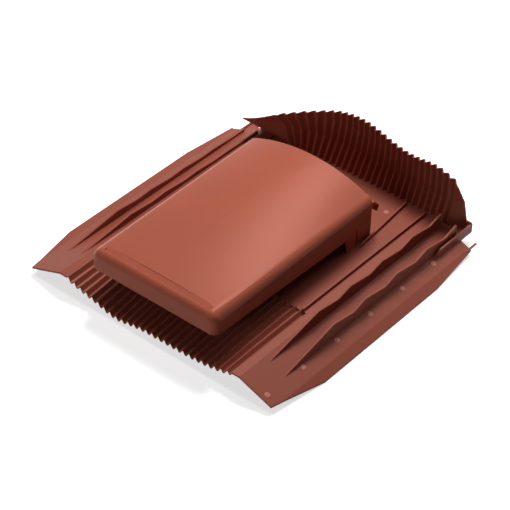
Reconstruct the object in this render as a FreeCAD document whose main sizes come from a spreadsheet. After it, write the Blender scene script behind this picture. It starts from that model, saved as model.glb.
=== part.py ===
import FreeCAD, Part
import math
import os
import Sketcher
from FreeCAD import Placement, Rotation, Vector

# Roof tile vent: a moulded pan with a pleated apron and flap, a hood clipped over its throat and a grille.
# Build frame, in mm: X across the slope, Y up the slope from the front edge, Z up from the pan's flat top.

SIZES = {
    # pan: flat middle, strips that slope down beside it, outer lips
    "pan_length": 390,
    "flat_half": 138,
    "strip_run": 50,
    "strip_drop": 18.5,
    "lip_run": 11,
    "right_lip_drop": 6.5,
    "left_lip_drop": 0.3,
    "wall": 2.5,
    "front_cut": 3.5,
    "lip_full_y": 80,
    "lip_taper_y": 300,
    "strip_end_inset": 9,
    "strip_end_out": 3,
    # pleats of the apron and the flap
    "pleat_wall": 2,
    "pleat_height": 5,
    "ridge_share": 0.1,
    "apron_pleats": 27,
    "apron_pitch": 9.4,
    "apron_depth": 135,
    "apron_root": 1,
    "apron_sag": 12,
    "apron_dip": 7,
    "dip_x": -50,
    "dip_spread": 28,
    "flap_pleats": 27,
    "flap_pitch": 9.2,
    "flap_first_x": -98,
    "flap_left_out": 8,
    "flap_tail_out": 27,
    "flap_inset": 4,
    "flap_full_z": 80,
    "flap_lean": 18,
    "flap_bulge": 10,
    "flap_curl": 62,
    "flap_fan": 45,
    "flap_left_z": 10,
    "flap_shoulder_x": -75,
    "flap_shoulder_z": 56,
    "flap_crest_x": 10,
    "flap_crest_z": 72,
    "flap_hollow_x": 88,
    "flap_hollow_z": 64,
    "flap_bump_x": 126,
    "flap_bump_z": 68,
    "flap_right_z": 57,
    "flap_lean_x": -15,
    "flap_lean_spread": 80,
    "tail_lean": 36,
    "tail_draw": 11,
    "tail_z": 47,
    # water bars on the strips, low bars on the flat
    "rib_wall": 2.5,
    "rib_start_y": 45,
    "rib_ramp": 88,
    "wave_count": 4,
    "rib_inset": 4,
    "trough_share": 0.68,
    "inner_rib_out": 7,
    "inner_rib_height": 17.6,
    "outer_rib_out": 30,
    "outer_rib_height": 20,
    "left_front_share": 0.55,
    "left_rear_share": 0.2,
    "bar_height": 4,
    "long_bar_in": 16.5,
    "bar_end_inset": 10,
    "toe_gap": 5,
    "toe_lap": 24,
    "toe_draw": 9,
    # batten hooks at the rear corners
    "rail_out": 35,
    "rail_length": 78,
    "rail_height": 10,
    "tongue_width": 17,
    "tongue_reach": 16,
    "hook_height": 8,
    "pin_half": 1.1,
    "pin_root": 8,
    "pin_reach": 14,
    # throat collar and grille
    "throat_width": 140,
    "throat_length": 116,
    "throat_back": 17.6,
    "collar_wall": 5,
    "collar_height": 20,
    "collar_corner": 12,
    "ledge": 2.5,
    "grille_thickness": 2.5,
    "grille_gap": 0.3,
    "slot_width": 3.2,
    "slot_pitch": 6.4,
    "slot_count": 19,
    "grille_rim": 9,
    # hood
    "hood_front_y": 8,
    "hood_rear_y": 300,
    "hood_half": 95,
    "hood_side_z": 55,
    "hood_front_rise": 0.6,
    "hood_rear_rise": 21,
    "hood_wall": 2.4,
    "hood_shoulder": 12,
    "hood_rim": 9,
    "mouth_front_z": 28,
    "mouth_rear_z": 20,
    "foot_length": 44,
    "foot_slope": 5,
    "slit_inset": 16,
    "slit_width": 1.6,
    "slit_height": 25,
    "groove_width": 9,
    "groove_depth": 1.5,
    "tab_length": 16,
    "tab_short": 0.3,
    "tab_gap": 0.3,
    "tab_inset": 14,
    "rear_tab_x": 55,
    "curl_reach": 18,
    "curl_drop": 20,
    "curl_width": 9,
}

PLACES = {
    # pan: places that follow its flat, strips and length
    "front_half": "flat_half + strip_run - front_cut",
    "strip_end_half": "flat_half + strip_run + strip_end_out",
    "strip_end_y": "pan_length - strip_end_inset",
    "tongue_rear_y": "pan_length + tongue_reach",
    "rail_front_y": "tongue_rear_y - rail_length",
    "rail_x": "flat_half + rail_out",
    "inner_rib_x": "flat_half + inner_rib_out",
    "outer_rib_x": "flat_half + outer_rib_out",
    "wave_period": "(strip_end_y - rib_inset - rib_start_y - rib_ramp) / wave_count",
    "long_bar_x": "flat_half - long_bar_in",
    "long_bar_end": "pan_length - bar_end_inset",
    "flap_left_x": "-(flat_half + flap_left_out)",
    "flap_tail_x": "flat_half + flap_tail_out",
    # places that follow the hood: its feet, the bars beside them, its tabs and the throat under it
    "foot_y": "hood_rear_y - foot_length",
    "slit_y": "foot_y + slit_inset",
    "foot_tab_y": "hood_rear_y - tab_inset",
    "tab_depth": "wall - tab_short",
    "toe_bar_front_x": "hood_half + toe_gap",
    "toe_bar_front_y": "hood_rear_y - toe_lap",
    "toe_bar_rear_x": "toe_bar_front_x - toe_draw",
    "throat_y": "hood_rear_y - hood_wall - throat_back - collar_wall - throat_length / 2",
}

WAVE_FALL = 0.62  # share of a water bar's wave that falls before it rises again
APRON_DROOP_POWER = 1.7  # how late towards its front edge the apron droops
APRON_EDGE_POWER = 4  # how late towards its sides the apron's sag dies out
RIDGE_PLACE = 0.25  # place of a pleat's ridge, in pleats
VALLEY_PLACE = 0.75  # place of a pleat's valley, in pleats
VALLEY_ROUND = ((-0.22, -0.5), (-0.1, -1.0), (0.1, -1.0), (0.22, -0.5))  # in pleats and half heights
FAN_START = 0.2  # place where the flap begins to fan out, as a share of its left reach
FAN_RUN = 0.5  # stretch over which the fan grows, as a share of the same reach
CURL_POWER = 1.3  # how late towards its top edge the flap's left end curls and fans
FLAP_ROOT = 0.7  # depth of the flap's root, as a share of the pan's wall
APRON_STATIONS = 3  # cross-sections that shape the apron's droop
FLAP_STATIONS = 4  # plan sections that shape the flap's bulge
RIM_STEPS = 4  # straight steps that round the hood's front rim
SHOULDER_STEPS = 5  # straight steps that round the hood's long top edges
GROOVE_BOTTOM = 0.25  # place of the deepest line of the hood's groove, as a share of its width
TINY = 0.01  # mm, slack for telling faces and edges apart

doc = FreeCAD.newDocument("roof_tile_vent")
sheet = doc.addObject("Spreadsheet::Sheet", "Sizes")
for row, (alias, value) in enumerate([*SIZES.items(), *PLACES.items()], start=1):
    sheet.set(f"A{row}", alias)
    sheet.set(f"B{row}", f"={value}")
    sheet.setAlias(f"B{row}", alias)
doc.recompute()


def size(formula):
    """The value of a formula over the sheet's sizes."""
    return float(sheet.evalExpression(formula))


def new_body(name):
    """An empty body."""
    return doc.addObject("PartDesign::Body", name)


def origin_plane(body, role):
    """One of the body's own origin planes."""
    return next(feature for feature in body.Origin.OriginFeatures if feature.Role == role)


def new_sketch(body, name, role, offset="0"):
    """A sketch on an origin plane, moved along the plane's normal by a formula."""
    sketch = body.newObject("Sketcher::SketchObject", name)
    sketch.AttachmentSupport = [(origin_plane(body, role), "")]
    sketch.MapMode = "FlatFace"
    sketch.setExpression("AttachmentOffset.Base.z", offset)
    return sketch


def hold_point(sketch, edge, end, corner):
    """Tie one end of a sketch edge to a pair of formulas."""
    for kind, formula in zip(("DistanceX", "DistanceY"), corner):
        index = sketch.addConstraint(Sketcher.Constraint(kind, -1, 1, edge, end, size(formula)))
        sketch.setExpression(f"Constraints[{index}]", formula)


def trace(sketch, corners):
    """Draw a closed outline with straight sides; each corner is a pair of formulas."""
    points = [Vector(size(across), size(up), 0) for across, up in corners]
    first = sketch.GeometryCount
    count = len(points)
    for index in range(count):
        sketch.addGeometry(Part.LineSegment(points[index], points[(index + 1) % count]))
    for index in range(count):
        following = first + (index + 1) % count
        sketch.addConstraint(Sketcher.Constraint("Coincident", first + index, 2, following, 1))
        hold_point(sketch, first + index, 1, corners[index])


def rectangle(across, along, half_across, half_along):
    """The corners of a rectangle about a middle point."""
    return [
        (f"{across} - ({half_across})", f"{along} - ({half_along})"),
        (f"{across} + ({half_across})", f"{along} - ({half_along})"),
        (f"{across} + ({half_across})", f"{along} + ({half_along})"),
        (f"{across} - ({half_across})", f"{along} + ({half_along})"),
    ]


def pad(body, name, sketch, length, side="One side", reverse=False):
    """Add material along the sketch's normal."""
    feature = body.newObject("PartDesign::Pad", name)
    feature.Profile = sketch
    feature.SideType = side
    feature.Reversed = reverse
    feature.setExpression("Length", length)
    doc.recompute()
    return feature


def pocket(body, name, sketch, length=None):
    """Take material away by a length, or right through both ways where none is given."""
    feature = body.newObject("PartDesign::Pocket", name)
    feature.Profile = sketch
    if length is None:
        feature.Type = "ThroughAll"
        feature.SideType = "Symmetric"
    else:
        feature.setExpression("Length", length)
    doc.recompute()
    return feature


def fillet(body, name, base, radius, wanted):
    """Round the edges of a feature that pass a test."""
    names = [f"Edge{number}" for number, edge in enumerate(base.Shape.Edges, start=1) if wanted(edge)]
    feature = body.newObject("PartDesign::Fillet", name)
    feature.Base = (base, names)
    feature.setExpression("Radius", radius)
    doc.recompute()
    return feature


def mirror_across(body, name, features):
    """Repeat features on the other side of the middle plane."""
    mirrored = body.newObject("PartDesign::Mirrored", name)
    mirrored.Originals = features
    mirrored.MirrorPlane = (origin_plane(body, "YZ_Plane"), [""])
    body.Tip = mirrored
    doc.recompute()
    return mirrored


def strip_level(across):
    """Formula for the height of the sloped strip's top at a distance from the middle."""
    return f"-({across} - Sizes.flat_half) * Sizes.strip_drop / Sizes.strip_run"


def side_section(side, sign):
    """Corners of one side of the pan's section, from the flat's edge out along the top and back below."""
    fold = "Sizes.flat_half + Sizes.strip_run"
    lip = f"{fold} + Sizes.lip_run"
    lip_level = f"-Sizes.strip_drop - Sizes.{side}_lip_drop"
    top = [("Sizes.flat_half", "0"), (fold, "-Sizes.strip_drop"), (lip, lip_level)]
    under = [(across, f"{level} - Sizes.wall") for across, level in reversed(top)]
    return [(f"{sign}({across})", level) for across, level in top + under]


def side_plan(sign):
    """Corners of one side of the pan's plan, from the front edge to the rear of the batten tongue."""
    lip = "Sizes.flat_half + Sizes.strip_run + Sizes.lip_run"
    outer = "Sizes.rail_x + Sizes.rib_wall / 2"
    inner = f"{outer} - Sizes.tongue_width"
    corners = [
        ("Sizes.front_half", "0"),
        (lip, "Sizes.lip_full_y"),
        (lip, "Sizes.lip_taper_y"),
        ("Sizes.strip_end_half", "Sizes.strip_end_y"),
        (outer, "Sizes.strip_end_y"),
        (outer, "Sizes.tongue_rear_y"),
        (inner, "Sizes.tongue_rear_y"),
        (inner, "Sizes.pan_length"),
    ]
    return [(f"{sign}({across})", along) for across, along in corners]


def add_plate(body):
    """Pan section run along the slope, trimmed to its plan, with the apron's place left open."""
    section = new_sketch(body, "pan_section", "XZ_Plane")
    trace(section, side_section("right", "") + side_section("left", "-")[::-1])
    pad(body, "pan_plate", section, "Sizes.tongue_rear_y", reverse=True)

    trim = new_sketch(body, "pan_plan", "XY_Plane")
    trace(trim, side_plan("") + side_plan("-")[::-1])
    trace(trim, rectangle("0", "Sizes.tongue_rear_y / 2", "2 * Sizes.flat_half", "Sizes.tongue_rear_y"))
    pocket(body, "plan_trim", trim)

    field = new_sketch(body, "apron_field", "XY_Plane")
    trace(field, rectangle("0", "0", "Sizes.apron_pleats * Sizes.apron_pitch / 2", "Sizes.apron_depth"))
    pocket(body, "apron_place", field)


def add_water_bar(body, name, sign, across, height, shares):
    """Upright rib along a strip: a ramp, then a saw-like wave from a front to a rear share of the height."""
    floor = strip_level(across)
    root = f"{floor} - Sizes.wall / 2"
    front_share, rear_share = shares
    count = int(size("Sizes.wave_count"))
    ramp_end = "Sizes.rib_start_y + Sizes.rib_ramp"
    corners = [("Sizes.rib_start_y", root), ("Sizes.rib_start_y", floor)]
    for wave in range(count + 1):
        crest = f"{height} * ({front_share} + ({rear_share} - {front_share}) * {wave} / {count})"
        corners.append((f"{ramp_end} + {wave} * Sizes.wave_period", f"{floor} + {crest}"))
        if wave < count:
            trough_y = f"{ramp_end} + ({wave} + {WAVE_FALL}) * Sizes.wave_period"
            corners.append((trough_y, f"{floor} + Sizes.trough_share * {crest}"))
    corners.append((f"{ramp_end} + {count} * Sizes.wave_period", root))
    outline = new_sketch(body, f"{name}_outline", "YZ_Plane", f"{sign}{across}")
    trace(outline, corners)
    pad(body, name, outline, "Sizes.rib_wall", side="Symmetric")


def add_low_bars(body):
    """The straight bar beside the hood and the toe bar that closes in behind its foot."""
    half = "Sizes.rib_wall / 2"
    rear = "Sizes.long_bar_end"
    long_plan = new_sketch(body, "long_bar_plan", "XY_Plane", "-Sizes.wall / 2")
    trace(long_plan, [
        (f"Sizes.long_bar_x - {half}", "Sizes.apron_depth"),
        (f"Sizes.long_bar_x + {half}", "Sizes.apron_depth"),
        (f"Sizes.long_bar_x + {half}", rear),
        (f"Sizes.long_bar_x - {half}", rear),
    ])
    toe_plan = new_sketch(body, "toe_bar_plan", "XY_Plane", "-Sizes.wall / 2")
    trace(toe_plan, [
        (f"Sizes.toe_bar_front_x - {half}", "Sizes.toe_bar_front_y"),
        (f"Sizes.toe_bar_front_x + {half}", "Sizes.toe_bar_front_y"),
        (f"Sizes.toe_bar_rear_x + {half}", rear),
        (f"Sizes.toe_bar_rear_x - {half}", rear),
    ])
    height = "Sizes.bar_height + Sizes.wall / 2"
    return [pad(body, "long_bar", long_plan, height), pad(body, "toe_bar", toe_plan, height)]


def add_rail(body, side, sign, share):
    """Rail along a batten tongue's outer edge and hook across its end, at a share of their height."""
    level = strip_level("Sizes.rail_x")
    root = f"{level} - Sizes.wall / 2"
    top = f"{level} + Sizes.rail_height * {share}"
    outline = new_sketch(body, f"{side}_rail_outline", "YZ_Plane", f"{sign}Sizes.rail_x")
    trace(outline, [
        ("Sizes.rail_front_y", root),
        ("Sizes.rail_front_y", level),
        ("Sizes.rail_front_y + Sizes.rail_height", top),
        ("Sizes.tongue_rear_y", top),
        ("Sizes.tongue_rear_y", root),
    ])
    pad(body, f"{side}_rail", outline, "Sizes.rib_wall", side="Symmetric")

    inner = "Sizes.flap_tail_x - Sizes.pleat_wall"
    hook_top = f"{strip_level(inner)} + Sizes.hook_height * {share}"
    end = new_sketch(body, f"{side}_hook_outline", "XZ_Plane", "-Sizes.tongue_rear_y")
    trace(end, [
        (f"{sign}Sizes.rail_x", root),
        (f"{sign}Sizes.rail_x", hook_top),
        (f"{sign}({inner})", hook_top),
        (f"{sign}({inner})", f"{strip_level(inner)} - Sizes.wall / 2"),
    ])
    pad(body, f"{side}_hook", end, "Sizes.rib_wall")


def add_pin(body):
    """Thin pin that carries the right lip on behind its strip."""
    outline = new_sketch(body, "pin_outline", "XZ_Plane", "-Sizes.strip_end_y + Sizes.pin_root")
    middle = ("Sizes.strip_end_half - 2 * Sizes.pin_half", "-Sizes.strip_drop - Sizes.wall / 2")
    trace(outline, rectangle(*middle, "Sizes.pin_half", "Sizes.pin_half"))
    pad(body, "pin", outline, "Sizes.pin_root + Sizes.pin_reach", reverse=True)


def add_throat(body):
    """Rectangular collar round the way through the pan, with a ledge for the grille."""
    half_width = "Sizes.throat_width / 2"
    half_length = "Sizes.throat_length / 2"
    outer = new_sketch(body, "collar_plan", "XY_Plane", "-Sizes.wall / 2")
    trace(outer, rectangle("0", "Sizes.throat_y", f"{half_width} + Sizes.collar_wall",
                           f"{half_length} + Sizes.collar_wall"))
    collar = pad(body, "collar", outer, "Sizes.collar_height + Sizes.wall / 2")
    reach = size(f"{half_length} + Sizes.collar_wall")
    corner_x = size(f"{half_width} + Sizes.collar_wall")

    def outer_corner(edge):
        middle = edge.CenterOfMass - Vector(0, size("Sizes.throat_y"), 0)
        upright = edge.BoundBox.ZLength > size("Sizes.collar_height") / 2
        return upright and abs(abs(middle.x) - corner_x) < TINY and abs(abs(middle.y) - reach) < TINY

    fillet(body, "collar_rounding", collar, "Sizes.collar_corner", outer_corner)
    seat = new_sketch(body, "grille_seat_plan", "XY_Plane", "Sizes.collar_height")
    seat_half = (f"{half_width} + Sizes.ledge", f"{half_length} + Sizes.ledge")
    trace(seat, rectangle("0", "Sizes.throat_y", *seat_half))
    pocket(body, "grille_seat", seat, "Sizes.grille_thickness")
    way = new_sketch(body, "throat_plan", "XY_Plane")
    trace(way, rectangle("0", "Sizes.throat_y", half_width, half_length))
    pocket(body, "throat", way)


def tab_places():
    """Middle, half width and half length of each hood tab, as formulas."""
    half_wall = "Sizes.hood_wall / 2"
    half_run = "Sizes.tab_length / 2"
    side = f"Sizes.hood_half - {half_wall}"
    rear = f"Sizes.hood_rear_y - {half_wall}"
    places = []
    for sign in ("", "-"):
        places.append((f"{sign}({side})", "Sizes.foot_tab_y", half_wall, half_run))
        places.append((f"{sign}Sizes.rear_tab_x", rear, half_run, half_wall))
    return places


def add_tab_slots(body):
    """Slots in the pan for the hood's tabs, wider by the tabs' clearance."""
    plan = new_sketch(body, "tab_slot_plan", "XY_Plane")
    for across, along, half_across, half_along in tab_places():
        slot_half = (f"{half_across} + Sizes.tab_gap", f"{half_along} + Sizes.tab_gap")
        trace(plan, rectangle(across, along, *slot_half))
    pocket(body, "tab_slots", plan)


def pleat_profile(count):
    """Pleats as (place in pleats, height in half heights): a narrow ridge and a rounded valley for each."""
    half = size("Sizes.ridge_share") / 2
    pleat = [(RIDGE_PLACE - half, 1.0), (RIDGE_PLACE + half, 1.0)]
    pleat += [(VALLEY_PLACE + offset, height) for offset, height in VALLEY_ROUND]
    profile = [(0.0, 0.0)]
    for number in range(count):
        profile += [(number + place, height) for place, height in pleat]
    profile.append((float(count), 0.0))
    return profile


def closed_wire(near, far):
    """Wire along one side of a sheet and back along the other."""
    points = near + far[::-1]
    return Part.makePolygon(points + points[:1])


def apron_wire(along, droop):
    """Cross-section of the apron at a distance up the slope; droop is its share of the front's sag."""
    half_field = size("Sizes.apron_pleats * Sizes.apron_pitch / 2")
    half_height = size("Sizes.pleat_height") / 2
    seat = size("Sizes.wall") / 2
    path = [(-half_field - seat, 0.0)]
    for place, height in pleat_profile(int(size("Sizes.apron_pleats"))):
        path.append((place * size("Sizes.apron_pitch") - half_field, height * half_height))
    path.append((half_field + seat, 0.0))
    near = []
    far = []
    for across, height in path:
        share = min(1.0, abs(across) / half_field)
        dip = math.exp(-((across - size("Sizes.dip_x")) / size("Sizes.dip_spread")) ** 2)
        sag = (1 - share ** APRON_EDGE_POWER) * (size("Sizes.apron_sag") + size("Sizes.apron_dip") * dip)
        level = height - seat - droop * sag
        near.append(Vector(across, along, level + size("Sizes.pleat_wall") / 2))
        far.append(Vector(across, along, level - size("Sizes.pleat_wall") / 2))
    return closed_wire(near, far)


def make_apron():
    """Pleated front apron: it leaves the pan's edge level and droops to its front edge."""
    root = size("Sizes.apron_depth + Sizes.apron_root")
    wires = []
    for station in range(APRON_STATIONS):
        share = station / (APRON_STATIONS - 1)
        wires.append(apron_wire(root * (1 - share), share ** APRON_DROOP_POWER))
    pleats = doc.addObject("Part::Feature", "apron_pleats")
    pleats.Shape = Part.makeLoft(wires, True, True)
    relief = doc.addObject("Part::Box", "apron_relief")
    relief.setExpression("Length", "2 * Sizes.flat_half")
    relief.setExpression("Width", "2 * Sizes.apron_root")
    relief.setExpression("Height", "2 * Sizes.pleat_height")
    relief.setExpression("Placement.Base.x", "-Sizes.flat_half")
    relief.setExpression("Placement.Base.y", "Sizes.apron_depth")
    relief.setExpression("Placement.Base.z", "-Sizes.wall - 2 * Sizes.pleat_height")
    apron = doc.addObject("Part::Cut", "apron")
    apron.Base = pleats
    apron.Tool = relief
    return apron


def flap_point(across, height, share):
    """Plan place of the flap at a share of its full height: it bulges, leans, curls and fans out."""
    bulge = size("Sizes.flap_bulge") * 4 * share * (1 - share)
    crest = math.exp(-((across - size("Sizes.flap_lean_x")) / size("Sizes.flap_lean_spread")) ** 2)
    left = max(0.0, across / size("Sizes.flap_left_x") - FAN_START) / FAN_RUN
    lean = size("Sizes.flap_lean") * crest * share
    curl = size("Sizes.flap_curl") * left ** 2 * share ** CURL_POWER
    spread = size("Sizes.flap_fan") * min(1.0, left) ** 2 * share ** CURL_POWER
    along = size("Sizes.pan_length - Sizes.flap_inset") - height
    return across - spread, along + lean - curl + bulge


def tail_point(share):
    """Plan place of the flap's plain right end, which stands on the batten tongue."""
    along = size("Sizes.tongue_rear_y - Sizes.pleat_wall / 2")
    bulge = size("Sizes.flap_bulge") * 4 * share * (1 - share)
    across = size("Sizes.flap_tail_x") - size("Sizes.tail_draw") * share
    return across, along - size("Sizes.tail_lean") * share + bulge


def flap_wire(level):
    """Plan section of the rear flap at a height: plain left end, pleats, plain right tail."""
    share = max(0.0, level / size("Sizes.flap_full_z"))
    half_height = size("Sizes.pleat_height") / 2
    first = size("Sizes.flap_first_x")
    path = [flap_point(size("Sizes.flap_left_x"), 0.0, share)]
    for place, height in pleat_profile(int(size("Sizes.flap_pleats"))):
        path.append(flap_point(first + place * size("Sizes.flap_pitch"), height * half_height, share))
    path.append(tail_point(share))
    half_wall = size("Sizes.pleat_wall") / 2
    near = [Vector(across, along - half_wall, level) for across, along in path]
    far = [Vector(across, along + half_wall, level) for across, along in path]
    return closed_wire(near, far)


def flap_outline():
    """Solid that holds the flap's front view, from inside the pan's wall up to the arched top edge."""
    left = size("Sizes.flap_left_x - Sizes.flap_fan")
    right = size("Sizes.flap_tail_x + Sizes.pleat_wall")
    arch = [Vector(left, 0, size("Sizes.flap_left_z"))]
    for spot in ("shoulder", "crest", "hollow", "bump"):
        arch.append(Vector(size(f"Sizes.flap_{spot}_x"), 0, size(f"Sizes.flap_{spot}_z")))
    last_pleat = size("Sizes.flap_first_x + Sizes.flap_pleats * Sizes.flap_pitch")
    arch.append(Vector(last_pleat, 0, size("Sizes.flap_right_z")))
    arch.append(Vector(right, 0, size("Sizes.tail_z")))
    edge = Part.BSplineCurve()
    edge.interpolate(arch)
    root = []
    for across in (right, size("Sizes.flat_half"), size("-Sizes.flat_half"), left):
        level = min(0.0, size(strip_level(str(abs(across)))))
        root.append(Vector(across, 0, level - FLAP_ROOT * size("Sizes.wall")))
    sides = Part.makePolygon([arch[-1]] + root + [arch[0]])
    face = Part.Face(Part.Wire([edge.toShape()] + sides.Edges))
    outline = doc.addObject("Part::Feature", "flap_outline")
    outline.Shape = face.extrude(Vector(0, 2 * size("Sizes.pan_length"), 0))
    return outline


def make_flap():
    """Pleated rear flap, trimmed to its front view."""
    full = size("Sizes.flap_full_z")
    levels = [-size("Sizes.strip_drop")]
    levels += [full * station / (FLAP_STATIONS - 1) for station in range(FLAP_STATIONS)]
    pleats = doc.addObject("Part::Feature", "flap_pleats")
    pleats.Shape = Part.makeLoft([flap_wire(level) for level in levels], True, True)
    flap = doc.addObject("Part::Common", "flap")
    flap.Base = pleats
    flap.Tool = flap_outline()
    return flap


def make_base_pan():
    """The moulded pan with everything that is part of it."""
    body = new_body("pan_body")
    add_plate(body)
    add_throat(body)
    mirror_across(body, "left_low_bars", add_low_bars(body))
    for side, sign, shares in (
        ("right", "", ("1", "1")),
        ("left", "-", ("Sizes.left_front_share", "Sizes.left_rear_share")),
    ):
        for row in ("inner", "outer"):
            place = (f"Sizes.{row}_rib_x", f"Sizes.{row}_rib_height")
            add_water_bar(body, f"{side}_{row}_bar", sign, *place, shares)
        add_rail(body, side, sign, shares[1])
    add_pin(body)
    add_tab_slots(body)
    pan = doc.addObject("Part::MultiFuse", "base_pan")
    pan.Shapes = [body, make_apron(), make_flap()]
    return pan


def hood_wire(along, rise, inset, floor):
    """Cross-section of the hood, drawn in by an inset: upright sides, round shoulders and an arched top."""
    half = size("Sizes.hood_half")
    shoulder = size("Sizes.hood_shoulder")
    bend = (half ** 2 + rise ** 2) / (2 * rise)
    arch_z = size("Sizes.hood_side_z") + rise - bend
    shoulder_x = half - shoulder
    shoulder_z = arch_z + math.sqrt((bend - shoulder) ** 2 - shoulder_x ** 2)
    steep = math.atan2(shoulder_z - arch_z, shoulder_x)
    radius = shoulder - inset

    def on_shoulder(angle):
        return Vector(shoulder_x + radius * math.cos(angle), along, shoulder_z + radius * math.sin(angle))

    def far(point):
        return Vector(-point.x, point.y, point.z)

    foot = Vector(half - inset, along, floor)
    near = [foot] + [on_shoulder(steep * step / SHOULDER_STEPS) for step in range(SHOULDER_STEPS + 1)]
    opposite = [far(point) for point in reversed(near)]
    arch = Part.Arc(near[-1], Vector(0, along, arch_z + bend - inset), opposite[0])
    sides = Part.makePolygon(opposite + near)
    return Part.Wire(sides.Edges + [arch.toShape()])


def make_hood_solid(name, inset, floor):
    """Solid drawn in from the hood's outside: a rim rounded towards the front, straight from there back."""
    rim = size("Sizes.hood_rim") - inset
    front = size("Sizes.hood_front_y") + inset
    wires = []
    for step in range(RIM_STEPS + 1):
        angle = math.pi / 2 * step / RIM_STEPS
        along = front + rim * (1 - math.cos(angle))
        draw_in = inset + rim * (1 - math.sin(angle))
        wires.append(hood_wire(along, size("Sizes.hood_front_rise"), draw_in, floor))
    wires.append(hood_wire(size("Sizes.hood_rear_y") - inset, size("Sizes.hood_rear_rise"), inset, floor))
    solid = doc.addObject("Part::Feature", name)
    solid.Shape = Part.makeLoft(wires, True, True)
    return solid


def add_hood_shell(body):
    """Start the hood from its block less the space one wall in from it, open below."""
    wall = size("Sizes.hood_wall")
    shell = doc.addObject("Part::Cut", "hood_shell")
    shell.Base = make_hood_solid("hood_block", 0, 0)
    shell.Tool = make_hood_solid("hood_hollow", wall, -wall)
    doc.recompute()
    body.BaseFeature = shell
    doc.recompute()


def cut_hood_mouth(body):
    """Open the front and sides below the skirts, leaving the feet at the rear, each with a slit."""
    side = new_sketch(body, "mouth_side", "YZ_Plane")
    below = "-Sizes.hood_wall"
    trace(side, [
        ("Sizes.hood_front_y - Sizes.hood_wall", below),
        ("Sizes.foot_y", below),
        ("Sizes.foot_y", "0"),
        ("Sizes.foot_y - Sizes.foot_slope", "Sizes.mouth_rear_z"),
        ("Sizes.hood_front_y - Sizes.hood_wall", "Sizes.mouth_front_z"),
    ])
    pocket(body, "mouth", side)
    slit = new_sketch(body, "slit_side", "YZ_Plane")
    trace(slit, rectangle("Sizes.slit_y", "0", "Sizes.slit_width / 2", "Sizes.slit_height"))
    pocket(body, "slit", slit)


def cut_hood_groove(body):
    """Shallow groove across the flat of the top, just behind the front rim, deepest near the rim."""
    across = new_sketch(body, "groove_side", "YZ_Plane")
    level = "Sizes.hood_side_z + Sizes.hood_front_rise"
    front = "Sizes.hood_front_y + Sizes.hood_rim - Sizes.hood_wall / 2"
    rear = f"{front} + Sizes.groove_width"
    trace(across, [
        (front, level),
        (f"{front} + {GROOVE_BOTTOM} * Sizes.groove_width", f"{level} - Sizes.groove_depth"),
        (rear, level),
        (rear, f"{level} + Sizes.groove_width"),
        (front, f"{level} + Sizes.groove_width"),
    ])
    feature = pocket(body, "groove", across, "2 * (Sizes.hood_half - Sizes.hood_shoulder - Sizes.hood_wall)")
    feature.SideType = "Symmetric"
    doc.recompute()


def add_hood_tabs(body):
    """Tabs under the feet and the rear wall that go through the pan's slots."""
    plan = new_sketch(body, "tab_plan", "XY_Plane", "-Sizes.tab_depth")
    for across, along, half_across, half_along in tab_places():
        trace(plan, rectangle(across, along, half_across, half_along))
    pad(body, "tabs", plan, "Sizes.tab_depth + Sizes.hood_wall")


def add_rear_curls(body):
    """Small curled hooks behind the hood's rear corners."""
    rear = "Sizes.hood_rear_y"
    top = "Sizes.hood_side_z - Sizes.hood_shoulder / 2"
    back = "Sizes.hood_wall"
    bend = (f"{rear} + Sizes.curl_reach / 2", f"{top} - Sizes.curl_drop / 6")
    elbow = (f"{rear} + Sizes.curl_reach", f"{top} - 2 / 3 * Sizes.curl_drop")
    tip = (f"{elbow[0]} - {back}", f"{top} - Sizes.curl_drop")
    middle = "Sizes.hood_half - Sizes.hood_wall - Sizes.curl_width / 2"
    profile = new_sketch(body, "curl_side", "YZ_Plane", middle)
    trace(profile, [
        (f"{rear} - {back} / 2", top),
        bend,
        elbow,
        tip,
        (f"{tip[0]} - {back}", tip[1]),
        (f"{elbow[0]} - {back}", elbow[1]),
        (f"{bend[0]} - {back} / 2", f"{bend[1]} - {back}"),
        (f"{rear} - {back} / 2", f"{top} - {back}"),
    ])
    curl = pad(body, "curl", profile, "Sizes.curl_width", side="Symmetric")
    mirror_across(body, "left_curl", [curl])


def make_hood():
    """The cover over the throat."""
    body = new_body("hood")
    add_hood_shell(body)
    cut_hood_groove(body)
    cut_hood_mouth(body)
    add_hood_tabs(body)
    add_rear_curls(body)
    return body


def make_grille():
    """Flat slotted insert that lies on the collar's ledge."""
    body = new_body("insect_grille")
    plan = new_sketch(body, "grille_plan", "XY_Plane", "Sizes.collar_height - Sizes.grille_thickness")
    trace(plan, rectangle("0", "Sizes.throat_y", "Sizes.throat_width / 2 + Sizes.ledge - Sizes.grille_gap",
                          "Sizes.throat_length / 2 + Sizes.ledge - Sizes.grille_gap"))
    pad(body, "grille_plate", plan, "Sizes.grille_thickness")
    slot_plan = new_sketch(body, "slot_plan", "XY_Plane")
    first = "-(Sizes.slot_count - 1) / 2 * Sizes.slot_pitch"
    trace(slot_plan, rectangle(first, "Sizes.throat_y", "Sizes.slot_width / 2",
                               "Sizes.throat_length / 2 - Sizes.grille_rim"))
    slot = pocket(body, "slot", slot_plan)
    pattern = body.newObject("PartDesign::LinearPattern", "slots")
    pattern.Originals = [slot]
    pattern.Direction = (slot_plan, ["H_Axis"])
    pattern.setExpression("Length", "(Sizes.slot_count - 1) * Sizes.slot_pitch")
    pattern.setExpression("Occurrences", "Sizes.slot_count")
    body.Tip = pattern
    doc.recompute()
    return body


pieces = {"base_pan": make_base_pan(), "hood": make_hood(), "insect_grille": make_grille()}
doc.recompute()

box = pieces["base_pan"].Shape.optimalBoundingBox(True, False)
seat_shift = Vector(0, -(box.YMin + box.YMax) / 2, -box.ZMin)
for name, piece in pieces.items():
    piece.Label = name
    piece.Placement = Placement(seat_shift, Rotation())
doc.recompute()

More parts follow.
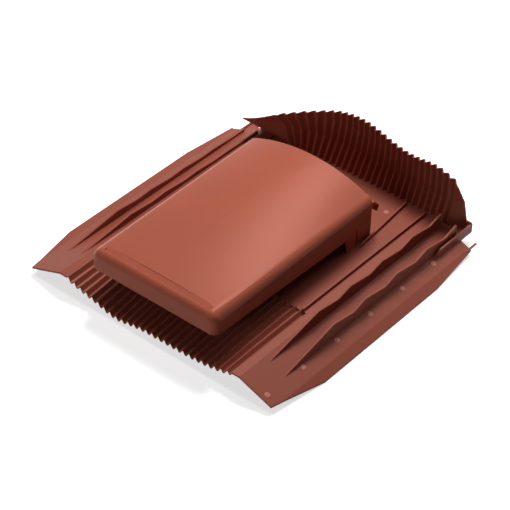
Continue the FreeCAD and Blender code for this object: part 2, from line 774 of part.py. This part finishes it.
for item in doc.Objects:
    if "Invalid" in item.State or "Error" in item.State:
        raise RuntimeError(f"{item.Name} did not build: {item.State}")

os.makedirs("parts", exist_ok=True)
for name, piece in pieces.items():
    if piece.Shape.isNull() or not piece.Shape.isValid():
        raise RuntimeError(f"{name} is not a valid shape")
    piece.Shape.exportStep(f"parts/{name}.step")
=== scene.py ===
import logging
import math
from dataclasses import dataclass, field
from enum import Enum
from typing import Any, Dict, List, Optional, Sequence, Tuple

import bpy
import numpy as np
from mathutils import Matrix, Vector


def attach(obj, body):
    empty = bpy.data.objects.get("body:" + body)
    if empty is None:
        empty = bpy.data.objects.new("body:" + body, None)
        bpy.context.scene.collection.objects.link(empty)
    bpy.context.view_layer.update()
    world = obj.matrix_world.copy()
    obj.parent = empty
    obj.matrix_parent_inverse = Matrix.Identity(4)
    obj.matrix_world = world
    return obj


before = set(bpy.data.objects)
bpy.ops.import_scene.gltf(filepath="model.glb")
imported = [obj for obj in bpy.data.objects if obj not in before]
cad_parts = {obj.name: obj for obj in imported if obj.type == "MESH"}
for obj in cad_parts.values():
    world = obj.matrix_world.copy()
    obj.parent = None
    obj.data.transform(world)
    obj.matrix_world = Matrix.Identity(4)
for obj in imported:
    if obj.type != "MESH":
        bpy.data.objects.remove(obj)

# Looks of the roof tile vent: finishes of its moulded pieces, the marks the mould left, studio and camera.

Colour = Tuple[float, float, float]
Point = Tuple[float, float, float]
Span = Tuple[float, float]

LOG = logging.getLogger("roof_tile_vent")
MM = 0.001
WHITE: Colour = (1.0, 1.0, 1.0)
RISE: Span = (0.0, 1.0)
FALL: Span = (1.0, 0.0)


class Piece(Enum):
    """CAD nodes of the vent."""

    PAN = "base_pan"
    HOOD = "hood"
    GRILLE = "insect_grille"


class Slot(Enum):
    """Material slots of the record."""

    PAN = "pan_plastic"
    HOOD = "hood_plastic"
    GRILLE = "grille_plastic"


def calculated(tree: Any, operation: str, *terms: Any) -> Any:
    """Add a node that calculates a number.

    Args:
        tree: The node tree to add to.
        operation: Name of the operation.
        terms: Its terms, each an output to link or a plain number.

    Returns:
        The output of the result.
    """
    node = tree.nodes.new("ShaderNodeMath")
    node.operation = operation
    for socket, term in zip(node.inputs, terms):
        if isinstance(term, float):
            socket.default_value = term
        else:
            tree.links.new(term, socket)
    return node.outputs[0]


def smooth_ramp(tree: Any, value: Any, span: Span, levels: Span) -> Any:
    """Add a node that goes smoothly from one level to another.

    Args:
        tree: The node tree to add to.
        value: Output of the value to follow.
        span: Values at which the change begins and ends.
        levels: Results at the beginning and at the end.

    Returns:
        The output of the result.
    """
    ramp = tree.nodes.new("ShaderNodeMapRange")
    ramp.interpolation_type = "SMOOTHSTEP"
    for socket, number in zip(("From Min", "From Max", "To Min", "To Max"), (*span, *levels)):
        ramp.inputs[socket].default_value = number
    tree.links.new(value, ramp.inputs["Value"])
    return ramp.outputs["Result"]


def mixed_colour(tree: Any, share: Any, first: Colour, second: Colour) -> Any:
    """Add a node that mixes two colours.

    Args:
        tree: The node tree to add to.
        share: Output of the second colour's share.
        first: The first colour, linear.
        second: The second colour, linear.

    Returns:
        The output of the mixed colour.
    """
    mix = tree.nodes.new("ShaderNodeMix")
    mix.data_type = "RGBA"
    mix.inputs["A"].default_value = (*first, 1.0)
    mix.inputs["B"].default_value = (*second, 1.0)
    tree.links.new(share, mix.inputs["Factor"])
    return mix.outputs["Result"]


@dataclass(frozen=True)
class FlowLine:
    """Faint dark line that the flow of the plastic left, along the slope.

    Attributes:
        across: Its place across the slope in metres.
        start: Where it begins along the slope in metres.
        end: Where it ends along the slope in metres.
        lean: How far it moves across for each metre along.
        half: Half its width in metres.
        fade: Length over which its ends fade in metres.
        tone: Share of the colour that is left in the line.
    """

    across: float
    start: float
    end: float
    lean: float = 0.0
    half: float = 0.9 * MM
    fade: float = 14.0 * MM
    tone: float = 0.86

    def darken(self, tree: Any, place: Any, colour: Any) -> Any:
        """Add nodes that darken a colour along the line.

        Args:
            tree: The material's node tree.
            place: Its texture coordinate node.
            colour: Output of the colour to darken.

        Returns:
            The output of the darkened colour.
        """
        split = tree.nodes.new("ShaderNodeSeparateXYZ")
        tree.links.new(place.outputs["Object"], split.inputs[0])
        along = split.outputs["Y"]
        beside = calculated(tree, "MULTIPLY_ADD", along, -self.lean, split.outputs["X"])
        share = smooth_ramp(tree, beside, (self.across - self.half, self.across), RISE)
        limits = (
            smooth_ramp(tree, beside, (self.across, self.across + self.half), FALL),
            smooth_ramp(tree, along, (self.start, self.start + self.fade), RISE),
            smooth_ramp(tree, along, (self.end - self.fade, self.end), FALL),
        )
        for limit in limits:
            share = calculated(tree, "MULTIPLY", share, limit)
        mix = tree.nodes.new("ShaderNodeMix")
        mix.data_type = "RGBA"
        mix.blend_type = "MULTIPLY"
        mix.inputs["B"].default_value = (self.tone, self.tone, self.tone, 1.0)
        tree.links.new(share, mix.inputs["Factor"])
        tree.links.new(colour, mix.inputs["A"])
        return mix.outputs["Result"]


@dataclass(frozen=True)
class PlasticFinish:
    """Satin moulded plastic with a faint cloudiness and a fine moulded grain.

    Attributes:
        name: Name of the material.
        colour: Base colour, linear.
        shade: Colour of the cloudy patches, linear.
        roughness: Roughness of the shine.
        specular: Strength of the shine at normal incidence.
        sheen: Colour of the shine, linear.
        line: Flow line in the colour, if there is one.
        cloud_scale: Patches per metre.
        cloud_detail: Layers of finer patches.
        grain_scale: Grains per metre.
        grain_depth: Depth of the grain in metres.
    """

    name: str
    colour: Colour
    shade: Colour
    roughness: float
    specular: float = 0.18
    sheen: Colour = (1.0, 0.6, 0.5)
    line: Optional[FlowLine] = None
    cloud_scale: float = 14.0
    cloud_detail: float = 2.0
    grain_scale: float = 900.0
    grain_depth: float = 0.03 * MM

    def material(self) -> bpy.types.Material:
        """Make the material on object coordinates.

        Returns:
            The new material.
        """
        material = bpy.data.materials.new(self.name)
        material.use_nodes = True
        tree = material.node_tree
        shader = tree.nodes["Principled BSDF"]
        shader.inputs["Roughness"].default_value = self.roughness
        shader.inputs["Specular IOR Level"].default_value = self.specular
        shader.inputs["Specular Tint"].default_value = (*self.sheen, 1.0)
        place = tree.nodes.new("ShaderNodeTexCoord")
        self._cloud(tree, place, shader)
        self._grain(tree, place, shader)
        return material

    def _cloud(self, tree: Any, place: Any, shader: Any) -> None:
        """Mix the two colours by a soft noise, and draw the flow line.

        Args:
            tree: The material's node tree.
            place: Its texture coordinate node.
            shader: Its shader node.
        """
        noise = tree.nodes.new("ShaderNodeTexNoise")
        noise.inputs["Scale"].default_value = self.cloud_scale
        noise.inputs["Detail"].default_value = self.cloud_detail
        tree.links.new(place.outputs["Object"], noise.inputs["Vector"])
        colour = mixed_colour(tree, noise.outputs["Fac"], self.colour, self.shade)
        if self.line:
            colour = self.line.darken(tree, place, colour)
        tree.links.new(colour, shader.inputs["Base Color"])

    def _grain(self, tree: Any, place: Any, shader: Any) -> None:
        """Roughen the surface with a fine bump.

        Args:
            tree: The material's node tree.
            place: Its texture coordinate node.
            shader: Its shader node.
        """
        noise = tree.nodes.new("ShaderNodeTexNoise")
        noise.inputs["Scale"].default_value = self.grain_scale
        bump = tree.nodes.new("ShaderNodeBump")
        bump.inputs["Distance"].default_value = self.grain_depth
        tree.links.new(place.outputs["Object"], noise.inputs["Vector"])
        tree.links.new(noise.outputs["Fac"], bump.inputs["Height"])
        tree.links.new(bump.outputs["Normal"], shader.inputs["Normal"])


HOOD_LINE = FlowLine(across=-6.9 * MM, start=-95.0 * MM, end=12.0 * MM, lean=0.036)
PAN_FINISH = PlasticFinish(Slot.PAN.value, (0.275, 0.067, 0.041), (0.24, 0.059, 0.036), 0.46)
HOOD_FINISH = PlasticFinish(Slot.HOOD.value, (0.38, 0.088, 0.046), (0.32, 0.083, 0.052), 0.36,
                            sheen=(1.0, 0.32, 0.21), line=HOOD_LINE)
GRILLE_FINISH = PlasticFinish(Slot.GRILLE.value, (0.06, 0.028, 0.022), (0.05, 0.024, 0.019), 0.5)
MARK_FINISH = PlasticFinish("mould_mark", (0.5, 0.185, 0.13), (0.46, 0.165, 0.115), 0.35)


def compared(group: Any, operation: str, value: Any, bound: float) -> Any:
    """Add a node that compares a value with a bound.

    Args:
        group: The node group to add to.
        operation: GREATER_THAN or LESS_THAN.
        value: Output of the value.
        bound: What it is compared with.

    Returns:
        The output that is true where the comparison holds.
    """
    compare = group.nodes.new("FunctionNodeCompare")
    compare.operation = operation
    compare.inputs["B"].default_value = bound
    group.links.new(value, compare.inputs["A"])
    return compare.outputs["Result"]


def joined_choice(group: Any, operation: str, first: Any, second: Any) -> Any:
    """Add a node that joins two choices of edges.

    Args:
        group: The node group to add to.
        operation: AND or OR.
        first: Output of the first choice.
        second: Output of the second choice.

    Returns:
        The output of the joined choice.
    """
    joined = group.nodes.new("FunctionNodeBooleanMath")
    joined.operation = operation
    group.links.new(first, joined.inputs[0])
    group.links.new(second, joined.inputs[1])
    return joined.outputs[0]


def steep_edges(group: Any, limit: float) -> Any:
    """Add nodes that pick the edges steeper than an angle.

    Args:
        group: The node group to add to.
        limit: The angle in radians.

    Returns:
        The output that is true on those edges.
    """
    angle = group.nodes.new("GeometryNodeInputMeshEdgeAngle")
    return compared(group, "GREATER_THAN", angle.outputs["Unsigned Angle"], limit)


@dataclass(frozen=True)
class CrispZone:
    """Stretch of a CAD node where shallow folds stay sharp too.

    Attributes:
        axis: The axis along which the stretch is measured.
        near: Where it begins, as a distance from the origin in metres.
        far: Where it ends, as a distance from the origin in metres.
        limit: Edges steeper than this angle stay sharp there, in radians.
    """

    axis: str
    near: float
    far: float
    limit: float

    def edges(self, group: Any) -> Any:
        """Add nodes that pick the folds of the zone.

        Args:
            group: The node group to add to.

        Returns:
            The output that is true on those edges.
        """
        place = group.nodes.new("GeometryNodeInputPosition")
        split = group.nodes.new("ShaderNodeSeparateXYZ")
        group.links.new(place.outputs["Position"], split.inputs[0])
        reach = calculated(group, "ABSOLUTE", split.outputs[self.axis])
        chosen = steep_edges(group, self.limit)
        for operation, bound in (("GREATER_THAN", self.near), ("LESS_THAN", self.far)):
            chosen = joined_choice(group, "AND", chosen, compared(group, operation, reach, bound))
        return chosen


@dataclass(frozen=True)
class SmoothShading:
    """Smooth shading across the shallow edges of a CAD node, whose triangles come apart from each other.

    Attributes:
        limit: Edges steeper than this angle stay sharp, in radians.
        zone: Where shallower folds stay sharp too.
        weld: Distance below which corners are joined, in metres.
    """

    limit: float
    zone: Optional[CrispZone] = None
    weld: float = 0.01 * MM

    def group(self) -> bpy.types.NodeTree:
        """Make the node group: join corners, shade all faces smooth, keep steep edges sharp.

        Returns:
            The new node group.
        """
        group = bpy.data.node_groups.new("smooth_shading", "GeometryNodeTree")
        group.interface.new_socket("Geometry", in_out="INPUT", socket_type="NodeSocketGeometry")
        group.interface.new_socket("Geometry", in_out="OUTPUT", socket_type="NodeSocketGeometry")
        start = group.nodes.new("NodeGroupInput")
        join = group.nodes.new("GeometryNodeMergeByDistance")
        join.inputs["Distance"].default_value = self.weld
        smooth = group.nodes.new("GeometryNodeSetShadeSmooth")
        sharp = group.nodes.new("GeometryNodeSetShadeSmooth")
        sharp.domain = "EDGE"
        sharp.inputs["Shade Smooth"].default_value = False
        end = group.nodes.new("NodeGroupOutput")
        chosen = steep_edges(group, self.limit)
        if self.zone:
            chosen = joined_choice(group, "OR", chosen, self.zone.edges(group))
        group.links.new(chosen, sharp.inputs["Selection"])
        chain = [start, join, smooth, sharp, end]
        for before, after in zip(chain, chain[1:]):
            group.links.new(before.outputs["Geometry"], after.inputs["Geometry"])
        return group

    def apply(self, node: bpy.types.Object) -> None:
        """Put the group and face-weighted normals on a CAD node as modifiers.

        Args:
            node: The CAD node's object.
        """
        shading = node.modifiers.new("smooth_shading", "NODES")
        shading.node_group = self.group()
        weighted = node.modifiers.new("weighted_normals", "WEIGHTED_NORMAL")
        weighted.keep_sharp = True


LIP_ZONE = CrispZone("X", 186.0 * MM, 210.0 * MM, math.radians(5.0))
GROOVE_ZONE = CrispZone("Y", 177.5 * MM, 187.5 * MM, math.radians(8.0))
PAN_SHADING = SmoothShading(math.radians(18.0), LIP_ZONE)
HOOD_SHADING = SmoothShading(math.radians(32.0), GROOVE_ZONE)
GRILLE_SHADING = SmoothShading(math.radians(32.0))


def dress_node(node: bpy.types.Object, finish: PlasticFinish, shading: SmoothShading) -> None:
    """Give a CAD node its finish and smooth shading.

    Args:
        node: The CAD node's object.
        finish: The finish to use.
        shading: The smooth shading to use.
    """
    material = finish.material()
    for slot in node.material_slots:
        slot.material = material
    shading.apply(node)


def mesh_object(name: str, points: np.ndarray, faces: Sequence[Sequence[int]],
                smooth: bool = True) -> bpy.types.Object:
    """Make an object from its points and faces.

    Args:
        name: Name of the object.
        points: Vertices in metres, one row each.
        faces: Vertex numbers of each face.
        smooth: Whether its faces are shaded smooth.

    Returns:
        The new object, linked to the scene.
    """
    mesh = bpy.data.meshes.new(name)
    mesh.from_pydata(points, [], faces)
    mesh.polygons.foreach_set("use_smooth", np.full(len(faces), smooth))
    mesh.update()
    made = bpy.data.objects.new(name, mesh)
    bpy.context.scene.collection.objects.link(made)
    return made


@dataclass
class MouldMarks:
    """Faint round marks that the mould leaves on the pan, each a shallow closed disc.

    Attributes:
        places: Middle of each mark in metres, one row each.
        slopes: Rise of the surface along X at each mark.
        radius: Radius of a mark in metres.
        height: Height of a mark before it is sunk, in metres.
        flat_share: Share of the radius that the one face over the middle covers.
        edge_power: Power by which the height falls towards the rim.
        sink_share: Share of the height by which a mark is sunk into the pan.
        rings: Rings of points in a mark.
        segments: Points in a ring.
    """

    places: np.ndarray
    slopes: np.ndarray
    radius: float = 3.8 * MM
    height: float = 0.3 * MM
    flat_share: float = 0.2
    edge_power: int = 6
    sink_share: float = 0.1
    rings: int = 6
    segments: int = 24

    def build(self) -> bpy.types.Object:
        """Lay the marks.

        Returns:
            One object with all the marks.
        """
        made = mesh_object("mould_marks", self._points(), self._faces())
        made.data.materials.append(MARK_FINISH.material())
        return made

    def _points(self) -> np.ndarray:
        """Work out the points of all discs as grids of rings and turns.

        A disc's height falls from its middle as one minus a power of the share of the radius. The whole
        disc is sunk a little, so that its rim lies just inside the pan, and follows the slope there.

        Returns:
            The points, one row each, disc by disc and ring by ring.
        """
        share = np.linspace(self.flat_share, 1.0, self.rings)
        angle = np.linspace(0.0, 2 * np.pi, self.segments, endpoint=False)
        across = self.radius * np.outer(share, np.cos(angle))
        along = self.radius * np.outer(share, np.sin(angle))
        lift = self.height * (1.0 - share ** self.edge_power - self.sink_share)[:, None]
        x = self.places[:, 0, None, None] + across
        y = self.places[:, 1, None, None] + along
        z = self.places[:, 2, None, None] + self.slopes[:, None, None] * across + lift
        return np.stack([x, y, z], axis=-1).reshape(-1, 3)

    def _faces(self) -> List[List[int]]:
        """Number the faces of all discs: those between rings, one over each middle and one underneath.

        Returns:
            The point numbers of each face.
        """
        disc, ring, turn = np.indices((len(self.places), self.rings - 1, self.segments))
        inner = (disc * self.rings + ring) * self.segments
        outer = inner + self.segments
        following = (turn + 1) % self.segments
        corners = [inner + turn, outer + turn, outer + following, inner + following]
        between = np.stack(corners, axis=-1).reshape(-1, 4)
        first = np.arange(len(self.places)) * self.rings * self.segments
        middles = first[:, None] + np.arange(self.segments)
        undersides = middles[:, ::-1] + (self.rings - 1) * self.segments
        return [*between.tolist(), *middles.tolist(), *undersides.tolist()]


# Corners of a box, 0 for its low and 1 for its high value along each axis, and its outward sides.
BOX_CORNERS = np.array([
    [0, 0, 0], [1, 0, 0], [1, 1, 0], [0, 1, 0],
    [0, 0, 1], [1, 0, 1], [1, 1, 1], [0, 1, 1],
])
BOX_SIDES = ((0, 3, 2, 1), (4, 5, 6, 7), (0, 1, 5, 4), (1, 2, 6, 5), (2, 3, 7, 6), (3, 0, 4, 7))


@dataclass
class ApronRiser:
    """Low wall that closes the apron's valleys against the pan's flat.

    Attributes:
        low: Its lowest corner, front and left, in metres.
        high: Its highest corner, rear and right, in metres.
    """

    low: Point = (-125.0 * MM, -70.1 * MM, 22.8 * MM)
    high: Point = (125.0 * MM, -69.3 * MM, 26.5 * MM)

    def build(self) -> bpy.types.Object:
        """Make a box: each corner takes its low or high value along each axis.

        Returns:
            The wall's object.
        """
        points = np.where(BOX_CORNERS == 0, self.low, self.high)
        return mesh_object("apron_riser", points, BOX_SIDES, smooth=False)


@dataclass
class BasePan:
    """The moulded pan and its marks. Places along it are counted from the middle of its front edge.

    Attributes:
        node: Its CAD node.
        top_z: Height of the flat's top in metres.
        front_y: Place of the front edge in metres.
        flat_half: Half width of the flat in metres.
        strip_fall: Fall of the side strips for each metre outwards.
        first_mark: Place of the first mark on the right strip, across and along, in metres.
        last_mark: Place of the last mark on the right strip, across and along, in metres.
        mark_count: Marks on the right strip.
        flat_mark: Place of the mark behind the hood, across and along, in metres.
    """

    node: bpy.types.Object
    top_z: float = 27.5 * MM
    front_y: float = -205.2 * MM
    flat_half: float = 138.0 * MM
    strip_fall: float = 0.37
    first_mark: Tuple[float, float] = (172.5 * MM, 8.5 * MM)
    last_mark: Tuple[float, float] = (176.0 * MM, 322.0 * MM)
    mark_count: int = 6
    flat_mark: Tuple[float, float] = (82.0 * MM, 351.0 * MM)

    def dress(self) -> List[bpy.types.Object]:
        """Give the pan its finish, lay the marks and close the apron's valleys.

        Returns:
            The pieces made.
        """
        dress_node(self.node, PAN_FINISH, PAN_SHADING)
        riser = ApronRiser().build()
        riser.data.materials.append(self.node.material_slots[0].material)
        made = [self._marks().build(), riser]
        for piece in made:
            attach(piece, "root")
        return made

    def _marks(self) -> MouldMarks:
        """Place the marks in a row along the right strip, and one on the flat.

        A mark's level falls from the flat's top with its distance outside the flat.

        Returns:
            The marks, not built yet.
        """
        row = np.linspace(self.first_mark, self.last_mark, self.mark_count)
        across, along = np.vstack([row, self.flat_mark]).T
        outside = np.maximum(0.0, across - self.flat_half)
        slopes = np.where(outside > 0.0, -self.strip_fall, 0.0)
        level = self.top_z - outside * self.strip_fall
        return MouldMarks(np.column_stack([across, along + self.front_y, level]), slopes)


@dataclass
class Hood:
    """The cover over the throat.

    Attributes:
        node: Its CAD node.
    """

    node: bpy.types.Object

    def dress(self) -> List[bpy.types.Object]:
        """Give the hood its finish.

        Returns:
            The pieces made: none.
        """
        dress_node(self.node, HOOD_FINISH, HOOD_SHADING)
        return []


@dataclass
class InsectGrille:
    """The slotted insert in the throat.

    Attributes:
        node: Its CAD node.
    """

    node: bpy.types.Object

    def dress(self) -> List[bpy.types.Object]:
        """Give the grille its finish.

        Returns:
            The pieces made: none.
        """
        dress_node(self.node, GRILLE_FINISH, GRILLE_SHADING)
        return []


@dataclass
class Lamp:
    """A soft square light.

    Attributes:
        name: Name of the light.
        place: Where it stands in metres.
        size: Side of the square in metres.
        power: Power in watts.
    """

    name: str
    place: Point
    size: float
    power: float

    def build(self) -> bpy.types.Object:
        """Make the light, aimed at the vent.

        Returns:
            The light's object.
        """
        data = bpy.data.lights.new(self.name, "AREA")
        data.size = self.size
        data.energy = self.power
        made = bpy.data.objects.new(self.name, data)
        made.location = self.place
        made.rotation_euler = (-Vector(self.place)).to_track_quat("-Z", "Y").to_euler()
        bpy.context.scene.collection.objects.link(made)
        return made


def default_lamps() -> List[Lamp]:
    """The key light high behind the vent, a small one high on its left, and low ones behind and in front.

    Returns:
        The lights, not built yet.
    """
    return [
        Lamp("key", (-0.36, 0.84, 1.62), 0.6, 31.0),
        Lamp("top", (-0.91, -0.16, 1.67), 0.3, 5.0),
        Lamp("rear", (0.2, 1.6, 1.0), 0.8, 8.0),
        Lamp("front", (0.0, -1.78, 0.65), 0.8, 5.5),
        Lamp("left", (-0.95, -1.6, 0.5), 0.8, 3.0),
    ]


def seen_directly(tree: Any) -> Any:
    """Add nodes that tell camera, glossy and transmission rays from the rest.

    Args:
        tree: The node tree to add to.

    Returns:
        The output that is 1 for those rays and 0 for the rest.
    """
    path = tree.nodes.new("ShaderNodeLightPath")
    either = calculated(tree, "MAXIMUM", path.outputs["Is Camera Ray"], path.outputs["Is Glossy Ray"])
    return calculated(tree, "MAXIMUM", either, path.outputs["Is Transmission Ray"])


@dataclass
class Studio:
    """Pale floor, soft lights and a white background.

    Attributes:
        floor_half: Half side of the floor in metres.
        floor_pale: Colour of the floor as it is seen, linear.
        floor_bounce: Colour of the floor for the light it throws back, linear.
        floor_roughness: Roughness of the floor.
        floor_glow: Strength by which the floor is lifted towards white where it is seen.
        shadow_reach: Distance from the middle beyond which the floor's shadows fade, in metres.
        white_reach: Distance from the middle beyond which the floor is white, in metres.
        fill: Strength of the light from all round.
        lamps: The lights.
    """

    floor_half: float = 1.2
    floor_pale: Colour = (0.95, 0.95, 0.95)
    floor_bounce: Colour = (0.2, 0.2, 0.2)
    floor_roughness: float = 0.9
    floor_glow: float = 0.6
    shadow_reach: float = 0.45
    white_reach: float = 1.0
    fill: float = 0.02
    lamps: Sequence[Lamp] = field(default_factory=default_lamps)

    def build(self) -> None:
        """Set up floor, world and lights."""
        self._floor()
        self._world()
        for lamp in self.lamps:
            lamp.build()
        bpy.context.scene.view_settings.view_transform = "Standard"

    def _floor(self) -> None:
        """Lay the floor at the height of the side lips."""
        corners = np.array([[-1, -1, 0], [1, -1, 0], [1, 1, 0], [-1, 1, 0]])
        floor = mesh_object("floor", self.floor_half * corners, [[0, 1, 2, 3]])
        floor.data.materials.append(self._floor_material())

    def _floor_material(self) -> bpy.types.Material:
        """Make the floor's matt finish, which rises to white away from the vent where it is seen.

        Returns:
            The new material.
        """
        material = bpy.data.materials.new("floor")
        material.use_nodes = True
        tree = material.node_tree
        shader = tree.nodes["Principled BSDF"]
        shader.inputs["Roughness"].default_value = self.floor_roughness
        shader.inputs["Specular IOR Level"].default_value = 0.0
        shader.inputs["Emission Color"].default_value = (*WHITE, 1.0)
        seen = seen_directly(tree)
        colour = mixed_colour(tree, seen, self.floor_bounce, self.floor_pale)
        place = tree.nodes.new("ShaderNodeTexCoord")
        reach = tree.nodes.new("ShaderNodeVectorMath")
        reach.operation = "LENGTH"
        tree.links.new(place.outputs["Object"], reach.inputs[0])
        span = (self.shadow_reach, self.white_reach)
        lift = smooth_ramp(tree, reach.outputs["Value"], span, (self.floor_glow, 1.0))
        tree.links.new(colour, shader.inputs["Base Color"])
        tree.links.new(calculated(tree, "MULTIPLY", seen, lift), shader.inputs["Emission Strength"])
        return material

    def _world(self) -> None:
        """Make the world white where it is seen, and a soft fill for the rest."""
        world = bpy.data.worlds.new("studio")
        world.use_nodes = True
        bpy.context.scene.world = world
        tree = world.node_tree
        back = tree.nodes["Background"]
        back.inputs["Color"].default_value = (*WHITE, 1.0)
        strength = calculated(tree, "MAXIMUM", seen_directly(tree), self.fill)
        tree.links.new(strength, back.inputs["Strength"])


@dataclass
class PhotoCamera:
    """Camera that stands where the photograph's stood.

    Attributes:
        place: Where it stands in metres.
        right: Direction to the right in its picture.
        up: Direction upwards in its picture.
        back: Direction from the vent to it.
        focal: Focal length in widths of the picture.
        sensor: Width of its sensor in millimetres.
    """

    place: Point = (1.19195, -1.53303, 1.58008)
    right: Point = (0.7721, 0.6348, 0.0301)
    up: Point = (-0.4186, 0.4723, 0.7757)
    back: Point = (0.4782, -0.6115, 0.6304)
    focal: float = 4.02605
    sensor: float = 36.0

    def build(self) -> bpy.types.Object:
        """Make the camera and let the scene use it.

        Returns:
            The camera's object.
        """
        data = bpy.data.cameras.new("photo_camera")
        data.sensor_width = self.sensor
        data.lens = self.focal * self.sensor
        made = bpy.data.objects.new("photo_camera", data)
        turn = Matrix((self.right, self.up, self.back)).transposed()
        made.matrix_world = Matrix.Translation(self.place) @ turn.to_4x4()
        bpy.context.scene.collection.objects.link(made)
        bpy.context.scene.camera = made
        return made


def main() -> None:
    """Dress the vent, build the studio and report each piece."""
    logging.basicConfig(level=logging.INFO, format="%(name)s: %(message)s")
    nodes: Dict[str, bpy.types.Object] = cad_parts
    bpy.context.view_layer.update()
    parts = [
        BasePan(nodes[Piece.PAN.value]),
        Hood(nodes[Piece.HOOD.value]),
        InsectGrille(nodes[Piece.GRILLE.value]),
    ]
    for part in parts:
        added = part.dress()
        for piece in [part.node, *added]:
            LOG.info("%s is ready, %d faces", piece.name, len(piece.data.polygons))
    Studio().build()
    PhotoCamera().build()


if __name__ == "__main__":
    main()
